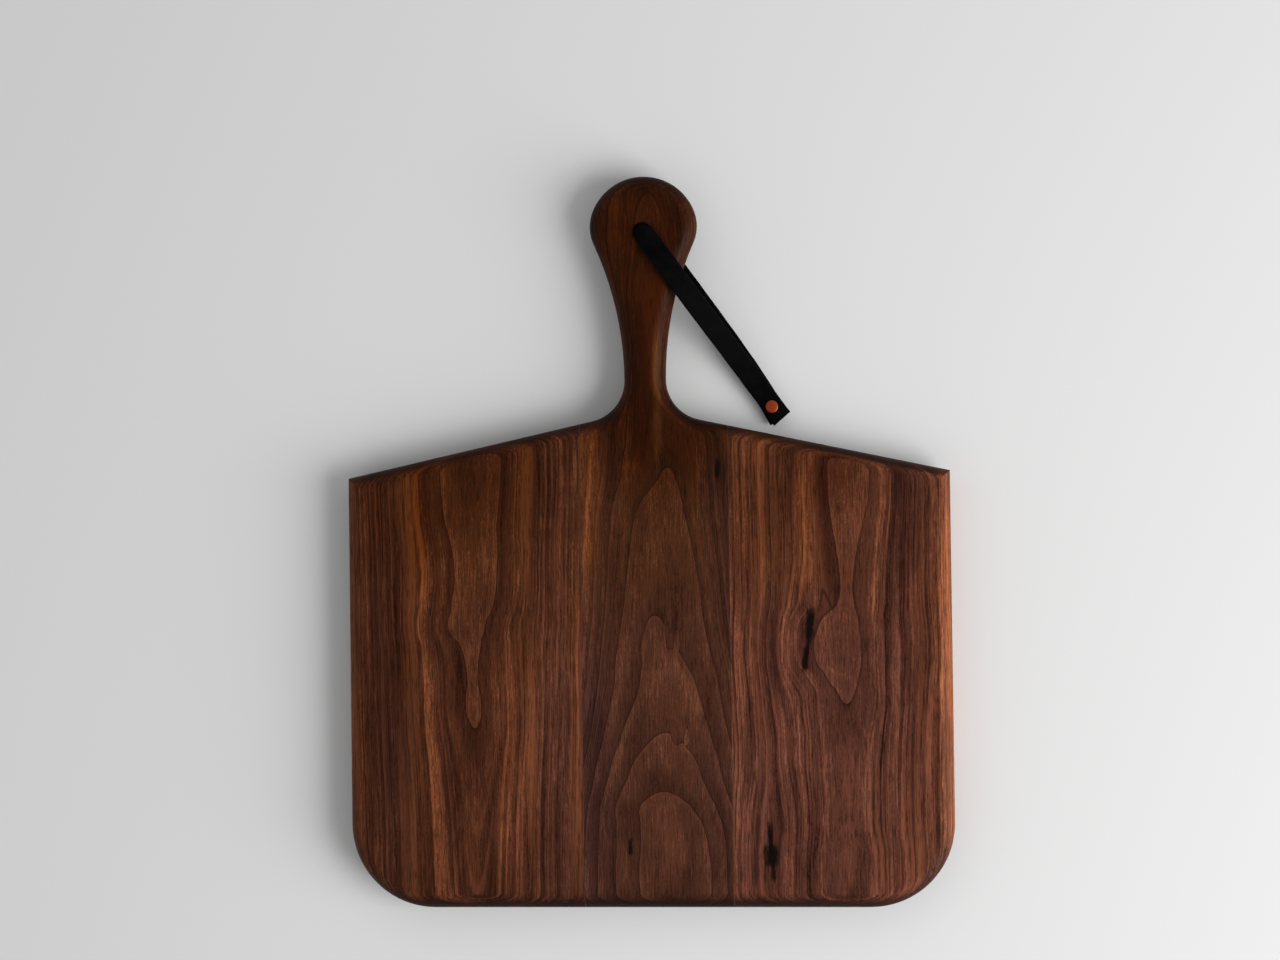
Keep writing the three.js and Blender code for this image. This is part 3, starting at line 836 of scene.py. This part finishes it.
# %% [markdown]
# ## Smooth faces on the frame's solids
# The frame's solids are made of flat facets. Their shape is right, so they stay, and only their shading is
# smoothed. A small geometry node group joins the facets and keeps edges sharp where the faces turn by
# more than a router bit leaves. A weighted normal modifier then keeps the big flat faces flat.

# %% Smooth the carried-over solids
SHARP_ANGLE = math.radians(25)
MERGE_DISTANCE = 0.002


def facet_smoother():
    tree = bpy.data.node_groups.new("smooth_facets", "GeometryNodeTree")
    for way in ("INPUT", "OUTPUT"):
        tree.interface.new_socket("Geometry", in_out=way, socket_type="NodeSocketGeometry")
    make = Shading(tree)
    source = make.add("NodeGroupInput").outputs[0]
    joined = make.add("GeometryNodeMergeByDistance", {"Geometry": source, "Distance": MERGE_DISTANCE * MM})
    bare = make.add("GeometryNodeSetMeshNormal", {"Mesh": joined.outputs[0]}, mode="SHARPNESS")
    all_faces = {"Geometry": bare.outputs[0], "Shade Smooth": True}
    soft = make.add("GeometryNodeSetShadeSmooth", all_faces, domain="FACE")
    angle = make.add("GeometryNodeInputMeshEdgeAngle").outputs[0]
    turned = make.add("FunctionNodeCompare", {0: angle, 1: SHARP_ANGLE}, operation="GREATER_THAN").outputs[0]
    sharp_edges = {"Geometry": soft.outputs[0], "Selection": turned, "Shade Smooth": False}
    edges = make.add("GeometryNodeSetShadeSmooth", sharp_edges, domain="EDGE")
    make.feed(make.add("NodeGroupOutput").inputs[0], edges.outputs[0])
    return tree


smooth_facets = facet_smoother()
finishes = {"left_stave": left_walnut, "handle_stave": handle_walnut, "right_stave": right_walnut,
            "glue_line_left": glue, "glue_line_right": glue}
for node, material in finishes.items():
    solid = nodes[node]
    solid.material_slots[0].material = material
    solid.modifiers.new("smooth_facets", "NODES").node_group = smooth_facets
    solid.modifiers.new("flat_faces_first", "WEIGHTED_NORMAL").keep_sharp = True
print("dressed", ", ".join(finishes))

# %% [markdown]
# ## Leather strap
# One strip of black leather is folded through the hole. It is wider than the hole, so it rolls up inside, and
# it comes out on the face as a small hood that flattens towards the rivet. The lower ply lies a little to
# one side of the upper one. The frame holds the strap as a stiff solid. Here a section with rounded edges
# is carried along the path in many more steps. A plain extrusion along a curve couldn't roll the section.

# %% Strap measures
rivet_low, rivet_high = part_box("rivet")
burr_low, burr_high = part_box("rivet_burr")
rivet_middle = (rivet_low + rivet_high) / 2 / MM
rivet_offset = (rivet_middle - hole_place).to_2d()
RIVET_ALONG = rivet_offset.length
STRAP_ANGLE = math.atan2(rivet_offset.y, rivet_offset.x)
STRAP_WIDTH = 12.7
STRAP_THICKNESS = 2.0
STRAP_EDGE_ROUND = 0.55
RIVET_INSET = 8.0
END_LENGTH = 9.4
END_SKEW = 0.09
FRONT_PLY_SHIFT = 0.6
BACK_PLY_SHORT = 1.0
BACK_PLY_BOW = 2.9
BACK_PLY_TURN = -0.12
BACK_PLY_FLARE = 12.0
BACK_PLY_CURL = 0.1
HOOD_RISE = 4.2
HOOD_LENGTH = 5.5
HOOD_CURL = -0.6
HOOD_FLARE = 16.0
LEVEL_REACH = 14.0
HOLE_RADIUS = 5.0
HOLE_RIM_ROUND = 1.2
HOLE_SQUEEZE = 0.37
LEATHER_GAP = 0.3
SEAT_GAP = 0.2
LEAVES_KNOB = 31.7
LANDING_LENGTH = 45.0
strap_half = STRAP_THICKNESS / 2
back_ply_bottom = burr_high.z / MM + SEAT_GAP
front_ply_bottom = back_ply_bottom + STRAP_THICKNESS + SEAT_GAP
print("strap angle", round(math.degrees(STRAP_ANGLE), 2), "degrees")
print("rivet", round(RIVET_ALONG, 2), "mm from the hole")

# %% Heights of the two plies
SLOPE_STEP = 0.01
curl_radius = HOLE_RADIUS - LEATHER_GAP - strap_half
bend_radius = HOLE_RIM_ROUND + LEATHER_GAP + strap_half
bend_along = curl_radius + bend_radius
lower_bend = BACK_HEIGHT + HOLE_RIM_ROUND
hood_base = FACE_HEIGHT - HOLE_RIM_ROUND
hood_top = FACE_HEIGHT + HOOD_RISE
hood_end = HOOD_LENGTH - curl_radius
landing = RIVET_ALONG - RIVET_INSET
strap_reach = RIVET_ALONG + END_LENGTH


def ease(x, start, end):
    """A smooth step from 0 at the start to 1 at the end."""
    share = min(max((x - start) / (end - start), 0.0), 1.0)
    return share * share * (3 - 2 * share)


def back_height(along):
    lying = strap_half + back_ply_bottom * ease(along, landing - LANDING_LENGTH, landing)
    lift = lower_bend - bend_radius - strap_half
    return lying + lift * (1 - ease(along, bend_along, bend_along + BACK_PLY_FLARE))


def front_height(along):
    return hood_top + (front_ply_bottom + strap_half - hood_top) * ease(along, LEVEL_REACH, landing)


def climb(height_at, along):
    """The angle at which a ply rises."""
    change = height_at(along + SLOPE_STEP) - height_at(along - SLOPE_STEP)
    return math.atan(change / (2 * SLOPE_STEP))


print("strap reaches", round(strap_reach, 1), "mm from the hole")

# %% Path from the lower end up through the hole
BACK_STATIONS = 110
RIM_STATIONS = 16
CROSSING_STATIONS = 26
STATION_GAP = 0.4
SQUEEZE_SHARE = 0.22
Station = namedtuple("Station", "along height heading curl bow skew squeeze", defaults=(0.0, 0.0, 1.0))


def spaced(start, end, count):
    return [start + (end - start) * i / (count - 1) for i in range(count)]


def back_ply():
    """From the cut end to the hole. It crosses under the rivet and stands out beside the upper ply."""
    for along in spaced(strap_reach - BACK_PLY_SHORT, bend_along + STATION_GAP, BACK_STATIONS):
        to_rivet = RIVET_ALONG - along
        bow = -BACK_PLY_TURN * to_rivet
        if to_rivet > 0:
            free = ease(along, bend_along, bend_along + 2 * BACK_PLY_FLARE)
            bow = BACK_PLY_BOW * free * (1 - math.exp(BACK_PLY_TURN / BACK_PLY_BOW * to_rivet))
        curl = BACK_PLY_CURL * (1 - ease(along, bend_along, bend_along + BACK_PLY_FLARE))
        yield Station(along, back_height(along), math.pi + climb(back_height, along), curl, bow)


def lower_rim():
    """Round the rim at the back of the hole, rolling up on the way."""
    for turn in spaced(0, math.pi / 2, RIM_STATIONS):
        curl = BACK_PLY_CURL + (1 - BACK_PLY_CURL) * ease(turn, 0, math.pi / 2)
        yield Station(bend_along - bend_radius * math.sin(turn), lower_bend - bend_radius * math.cos(turn),
                      math.pi - turn, curl)


def hole_crossing():
    """Up through the hole, from the wall next to the strap to the wall across from it."""
    for share in spaced(0, 1, CROSSING_STATIONS)[1:]:
        swung = 1 - 2 * ease(share, 0, 1)
        drift = -2 * curl_radius * 6 * share * (1 - share)
        squeeze = 1 - HOLE_SQUEEZE * ease(min(share, 1 - share), 0, SQUEEZE_SHARE)
        yield Station(curl_radius * swung, lower_bend + (hood_base - lower_bend) * share,
                      math.atan2(hood_base - lower_bend, drift), swung, squeeze=squeeze)


lower_path = [*back_ply(), *lower_rim(), *hole_crossing()]
print("lower path of", len(lower_path), "stations")

# %% Path over the front rim to the upper end
HOOD_STATIONS = 20
FRONT_STATIONS = 124


def hood():
    """Over the front rim in a wide bend, opening on the way."""
    height = hood_top - hood_base
    for turn in spaced(0, math.pi / 2, HOOD_STATIONS)[1:]:
        along = HOOD_LENGTH * (1 - math.cos(turn)) - curl_radius
        heading = math.atan2(height * math.cos(turn), HOOD_LENGTH * math.sin(turn))
        curl = -1 + (1 + HOOD_CURL) * ease(turn, 0, math.pi / 2)
        yield Station(along, hood_base + height * math.sin(turn), heading, curl)


def front_ply():
    """From the hood to the cut end, which is cut a little askew."""
    for along in spaced(hood_end + STATION_GAP, strap_reach, FRONT_STATIONS):
        curl = HOOD_CURL * (1 - ease(along, hood_end, hood_end + HOOD_FLARE))
        bow = FRONT_PLY_SHIFT * ease(along, LEAVES_KNOB, landing)
        skew = END_SKEW * ease(along, RIVET_ALONG, strap_reach)
        yield Station(along, front_height(along), climb(front_height, along), curl, bow, skew)


strap_stations = [*lower_path, *hood(), *front_ply()]
print("strap path of", len(strap_stations), "stations")

# %% Strap section
SECTION_STEPS = 14
CORNER_STEPS = 4
EDGE_WANDER = 0.05


def strap_section():
    """Points round the strip's section as (across, through, share of raw edge)."""
    flat = STRAP_WIDTH / 2 - STRAP_EDGE_ROUND - EDGE_WANDER
    core = strap_half - STRAP_EDGE_ROUND
    points = []
    for side_x, side_z, start in ((1, -1, -90), (1, 1, 0), (-1, 1, 90), (-1, -1, 180)):
        for step in range(CORNER_STEPS + 1):
            turn = math.radians(start + 90 * step / CORNER_STEPS)
            across = side_x * flat + STRAP_EDGE_ROUND * math.cos(turn)
            through = side_z * core + STRAP_EDGE_ROUND * math.sin(turn)
            points.append((across, through, abs(math.cos(turn))))
        ends_on_face = side_x == side_z
        if ends_on_face:
            for across in spaced(side_x * flat, -side_x * flat, SECTION_STEPS)[1:-1]:
                points.append((across, side_z * strap_half, 0.0))
    return points


section = strap_section()
print("strap section of", len(section), "points")

# %% Strap mesh
WANDER_PER_MM = 0.33
SWELL_HEIGHT = 0.16
SWELL_RADIUS = 5.1
SWELL_WIDTH = 1.2
STRAIGHT = 1e-6


def strap_point(station, across, through):
    """One point of the strip in metres: its section is rolled by the curl, set on the path and turned."""
    along, heading, curl = station.along, station.heading, station.curl
    across = across * station.squeeze + EDGE_WANDER * math.sin(along * WANDER_PER_MM) * (1 - abs(curl))
    from_rivet = math.hypot(along - RIVET_ALONG, across + station.bow)
    if through > 0:
        through += SWELL_HEIGHT * math.exp(-(((from_rivet - SWELL_RADIUS) / SWELL_WIDTH) ** 2))
    sideways, outwards = across, through
    if abs(curl) > STRAIGHT:
        radius = curl_radius / curl
        sideways = (radius - through) * math.sin(across / radius)
        outwards = radius - (radius - through) * math.cos(across / radius)
    reach = along - station.skew * sideways - math.sin(heading) * outwards
    turned = Matrix.Rotation(STRAP_ANGLE, 3, "Z") @ Vector((reach, station.bow + sideways, 0))
    height = station.height + math.cos(heading) * outwards
    return (turned + Vector((hole_place.x, hole_place.y, height))) * MM


def strap_mesh():
    size = len(section)
    last = len(strap_stations) - 1
    points = [strap_point(station, across, through)
              for station in strap_stations for across, through, _ in section]
    faces = [tuple(reversed(range(size)))]
    for i in range(last):
        for j in range(size):
            follow = (j + 1) % size
            faces.append((i * size + j, i * size + follow, (i + 1) * size + follow, (i + 1) * size + j))
    faces.append(tuple(last * size + j for j in range(size)))
    mesh = bpy.data.meshes.new("strap_leather")
    mesh.from_pydata(points, [], faces)
    raw = mesh.attributes.new("raw_edge", "FLOAT", "POINT")
    for i in range(len(strap_stations)):
        for j, (_, _, share) in enumerate(section):
            raw.data[i * size + j].value = 1.0 if i in (0, last) else share
    return mesh


strap = new_object("strap_leather", strap_mesh())
print("strap mesh of", len(strap.data.polygons), "faces")

# %% [markdown]
# ## Copper rivet and burr
# The rivet is turned from copper rod: a low domed head, a shank, and a tail hammered out over a washer that
# riveters call a burr. A profile spun round an axis gives both, and the spun profile can hold the soft
# edges that hammering leaves. The same spinning makes the punch that cuts the rivet's hole in the leather.

# %% Turned pieces
TURN_STEPS = 64
SOFT_ANGLE = math.radians(50)


def turned_mesh(name, profile, closed=False):
    """A profile of (radius, height) points in millimetres, spun round the rivet's axis."""
    build = bmesh.new()
    rings = []
    for radius, height in profile:
        count = TURN_STEPS if radius > 0 else 1
        ring = []
        for i in range(count):
            angle = math.tau * i / TURN_STEPS
            place = Vector((radius * math.cos(angle), radius * math.sin(angle), height))
            ring.append(build.verts.new((place + Vector((rivet_middle.x, rivet_middle.y, 0))) * MM))
        rings.append(ring)
    pairs = list(zip(rings, rings[1:]))
    if closed:
        pairs.append((rings[-1], rings[0]))
    for lower, upper in pairs:
        for i in range(TURN_STEPS):
            follow = (i + 1) % TURN_STEPS
            corners = [lower[i % len(lower)], lower[follow % len(lower)],
                       upper[follow % len(upper)], upper[i % len(upper)]]
            build.faces.new(list(dict.fromkeys(corners)))
    bmesh.ops.recalc_face_normals(build, faces=build.faces)
    mesh = bpy.data.meshes.new(name)
    build.to_mesh(mesh)
    build.free()
    return mesh


def arc(radius_at, height_at, radius, start, end, steps):
    turns = [math.radians(angle) for angle in spaced(start, end, steps)]
    return [(radius_at + radius * math.cos(turn), height_at + radius * math.sin(turn)) for turn in turns]


def smooth(piece):
    piece.data.shade_smooth()
    piece.data.set_sharp_from_angle(angle=SOFT_ANGLE)


print("turning in", TURN_STEPS, "steps")

# %% Rivet
SHANK_RADIUS = 1.35
HEAD_RADIUS = 3.7
HEAD_HEIGHT = 1.2
HEAD_RIM = 0.62
HEAD_DOME = 0.2
HEAD_BEVEL = 0.15
PEEN_RADIUS = 2.3
PEEN_HEIGHT = 0.7
PEEN_BEVEL = 0.1
PEEN_BELLY = 0.8
PEEN_SHOULDER = 0.9
head_top = rivet_high.z / MM
head_bottom = head_top - HEAD_HEIGHT


def rivet_profile():
    peen = [(PEEN_RADIUS * math.sin(turn), PEEN_HEIGHT * PEEN_BELLY * (1 - math.cos(turn)))
            for turn in spaced(0, math.pi / 2, 9)]
    under = [(PEEN_RADIUS, PEEN_HEIGHT * PEEN_SHOULDER), (PEEN_RADIUS - PEEN_BEVEL, PEEN_HEIGHT),
             (SHANK_RADIUS, PEEN_HEIGHT), (SHANK_RADIUS, head_bottom),
             (HEAD_RADIUS - HEAD_BEVEL, head_bottom), (HEAD_RADIUS, head_bottom + HEAD_BEVEL)]
    rim = arc(HEAD_RADIUS - HEAD_RIM, head_top - HEAD_DOME - HEAD_RIM, HEAD_RIM, 0, 78, 7)
    edge_radius, edge_height = rim[-1]
    fall = head_top - edge_height
    radii = spaced(edge_radius, 0, 7)[1:]
    dome = [(radius, head_top - fall * (radius / edge_radius) ** 2) for radius in radii]
    return peen + under + rim + dome


rivet = new_object("rivet_turned", turned_mesh("rivet_turned", rivet_profile()))
smooth(rivet)
print("rivet head", 2 * HEAD_RADIUS, "mm across")

# %% Burr
BURR_RADIUS = 3.7
BURR_HOLE = 1.65
BURR_SOFT = 0.22
burr_bottom = burr_low.z / MM
burr_top = burr_high.z / MM


def burr_profile():
    outer = BURR_RADIUS - BURR_SOFT
    inner = BURR_HOLE + BURR_SOFT
    lower = burr_bottom + BURR_SOFT
    upper = burr_top - BURR_SOFT
    return (arc(outer, lower, BURR_SOFT, -90, 0, 5) + arc(outer, upper, BURR_SOFT, 0, 90, 5)
            + arc(inner, upper, BURR_SOFT, 90, 180, 5) + arc(inner, lower, BURR_SOFT, 180, 270, 5))


burr = new_object("burr_turned", turned_mesh("burr_turned", burr_profile(), closed=True))
smooth(burr)
print("burr", 2 * BURR_RADIUS, "mm across")

# %% Punch the strap for the rivet
SHANK_HOLE = 1.65
PUNCH_BELOW = 1.0


def punch(piece):
    """Cuts the rivet's hole through both plies and leaves the cut in the mesh itself."""
    profile = [(0, -PUNCH_BELOW), (SHANK_HOLE, -PUNCH_BELOW), (SHANK_HOLE, head_top), (0, head_top)]
    cutter = new_object("punch", turned_mesh("punch", profile))
    cut = piece.modifiers.new("punch", "BOOLEAN")
    cut.operation = "DIFFERENCE"
    cut.solver = "EXACT"
    cut.object = cutter
    shaped = piece.evaluated_get(bpy.context.evaluated_depsgraph_get())
    mesh = bpy.data.meshes.new_from_object(shaped)
    piece.modifiers.clear()
    piece.data = mesh
    bpy.data.objects.remove(cutter)


punch(strap)
smooth(strap)
print("strap punched, now", len(strap.data.polygons), "faces")

# %% [markdown]
# ## Worn surfaces
# Leather and hammered copper have three things in common: small cells or dents, fine scuffs on top of them,
# and broad clouds where the surface has aged. Each finish could hold its own textures. One group makes all
# three from the place on the piece, and each finish only says how many of them there are to a metre.

# %% Group: worn surface
def worn_surface_group():
    inputs = {"Cells per metre": NUMBER, "Scuffs per metre": NUMBER, "Clouds per metre": NUMBER}
    outputs = {"Cells": NUMBER, "Scuffs": NUMBER, "Clouds": NUMBER}
    shading, source, target = new_group("worn_surface", inputs, outputs)
    place = shading.add("ShaderNodeTexCoord").outputs["Object"]

    def scaled(per_metre):
        values = {0: place, "Scale": source[per_metre]}
        return shading.add("ShaderNodeVectorMath", values, operation="SCALE").outputs[0]

    cell_values = {"Vector": scaled("Cells per metre"), "Scale": 1.0}
    cells = shading.add("ShaderNodeTexVoronoi", cell_values, feature="SMOOTH_F1").outputs["Distance"]
    shading.feed(target["Cells"], cells)
    shading.feed(target["Scuffs"], shading.noise(scaled("Scuffs per metre"), 3.0, 0.6))
    shading.feed(target["Clouds"], shading.noise(scaled("Clouds per metre"), 3.0, 0.6))
    return shading.tree


worn_surface = worn_surface_group()
print("group", worn_surface.name)

# %% [markdown]
# ## Leather finish
# The strap is dyed black and hardly shines, and fibres show grey on its raw cut edges. A plain black would
# look like a hole in the picture. So the cells give a pebbled relief, the clouds rub the black a little,
# and the mesh's own raw_edge value says where the leather was cut.

# %% Leather on the strap
LEATHER_BLACK = colour(3, 3, 3)
LEATHER_WORN = colour(7, 7, 7)
LEATHER_CUT = colour(26, 23, 21)
LEATHER_GRAIN = {"Cells per metre": 2600.0, "Scuffs per metre": 2600.0, "Clouds per metre": 180.0}
LEATHER_BUMP = 0.4
LEATHER_RELIEF = 0.12
LEATHER_SPECULAR = 0.04


def leather_material():
    material, shading, shader = new_material("leather")
    worn = shading.group(worn_surface, LEATHER_GRAIN)
    raw_edge = shading.add("ShaderNodeAttribute", attribute_name="raw_edge").outputs["Fac"]
    fibres = shading.ramp(worn["Scuffs"], 0.4, 0.7)
    frayed = shading.times(shading.ramp(raw_edge, 0.75, 1.0, 0.0, 0.6), fibres)
    tint = shading.mix(shading.ramp(worn["Clouds"], 0.45, 0.75), LEATHER_BLACK, LEATHER_WORN)
    height = shading.plus(shading.times(worn["Cells"], 0.7), shading.times(worn["Scuffs"], 0.5))
    shading.feed(shader.inputs["Base Color"], shading.mix(frayed, tint, LEATHER_CUT))
    shading.feed(shader.inputs["Roughness"], shading.ramp(worn["Clouds"], 0.3, 0.7, 0.5, 0.66))
    shading.feed(shader.inputs["Normal"], shading.bump(height, LEATHER_BUMP, LEATHER_RELIEF))
    shader.inputs["Specular IOR Level"].default_value = LEATHER_SPECULAR
    return material


strap.data.materials.clear()
strap.data.materials.append(leather_material())
print("leather on", strap.name)

# %% [markdown]
# ## Copper finish
# Rivets are soft copper that the hammer dents and the air dulls. Polished metal would only mirror the dark
# card overhead. So tarnish lowers the metal's share where it lies, and the head keeps a warm colour.

# %% Copper on the rivet and the burr
COPPER = colour(170, 68, 32)
COPPER_TARNISH = colour(140, 48, 20)
COPPER_GRAIN = {"Cells per metre": 900.0, "Scuffs per metre": 4000.0, "Clouds per metre": 900.0}
COPPER_BUMP = 0.5
COPPER_RELIEF = 0.15


def copper_material():
    material, shading, shader = new_material("copper")
    worn = shading.group(worn_surface, COPPER_GRAIN)
    tarnish = worn["Clouds"]
    tint = shading.mix(shading.ramp(tarnish, 0.5, 0.75), COPPER, COPPER_TARNISH)
    height = shading.plus(worn["Cells"], shading.times(worn["Scuffs"], 0.15))
    shading.feed(shader.inputs["Base Color"], tint)
    shading.feed(shader.inputs["Roughness"], shading.ramp(worn["Scuffs"], 0.3, 0.7, 0.38, 0.52))
    shading.feed(shader.inputs["Metallic"], shading.ramp(tarnish, 0.35, 0.7, 0.8, 0.55))
    shading.feed(shader.inputs["Normal"], shading.bump(height, COPPER_BUMP, COPPER_RELIEF))
    return material


copper = copper_material()
for piece in (rivet, burr):
    piece.data.materials.append(copper)
print("copper on", rivet.name, "and", burr.name)

# %% [markdown]
# ## Pieces on the swinging strap
# The strap swings about the hole, and the rivet and the burr go with it. Parenting by hand would do, but the
# frame already has a body for the strap. Each piece rides on that body and takes the place of its plain
# solid.

# %% Ride on the strap's body
STRAP_PIECES = [
    (strap, "leather_strap", "leather"),
    (rivet, "rivet", "copper"),
    (burr, "rivet_burr", "copper"),
]
for piece, node, finish in STRAP_PIECES:
    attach(piece, "strap_loop")
    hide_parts(node)
print(len(STRAP_PIECES), "pieces ride on strap_loop")
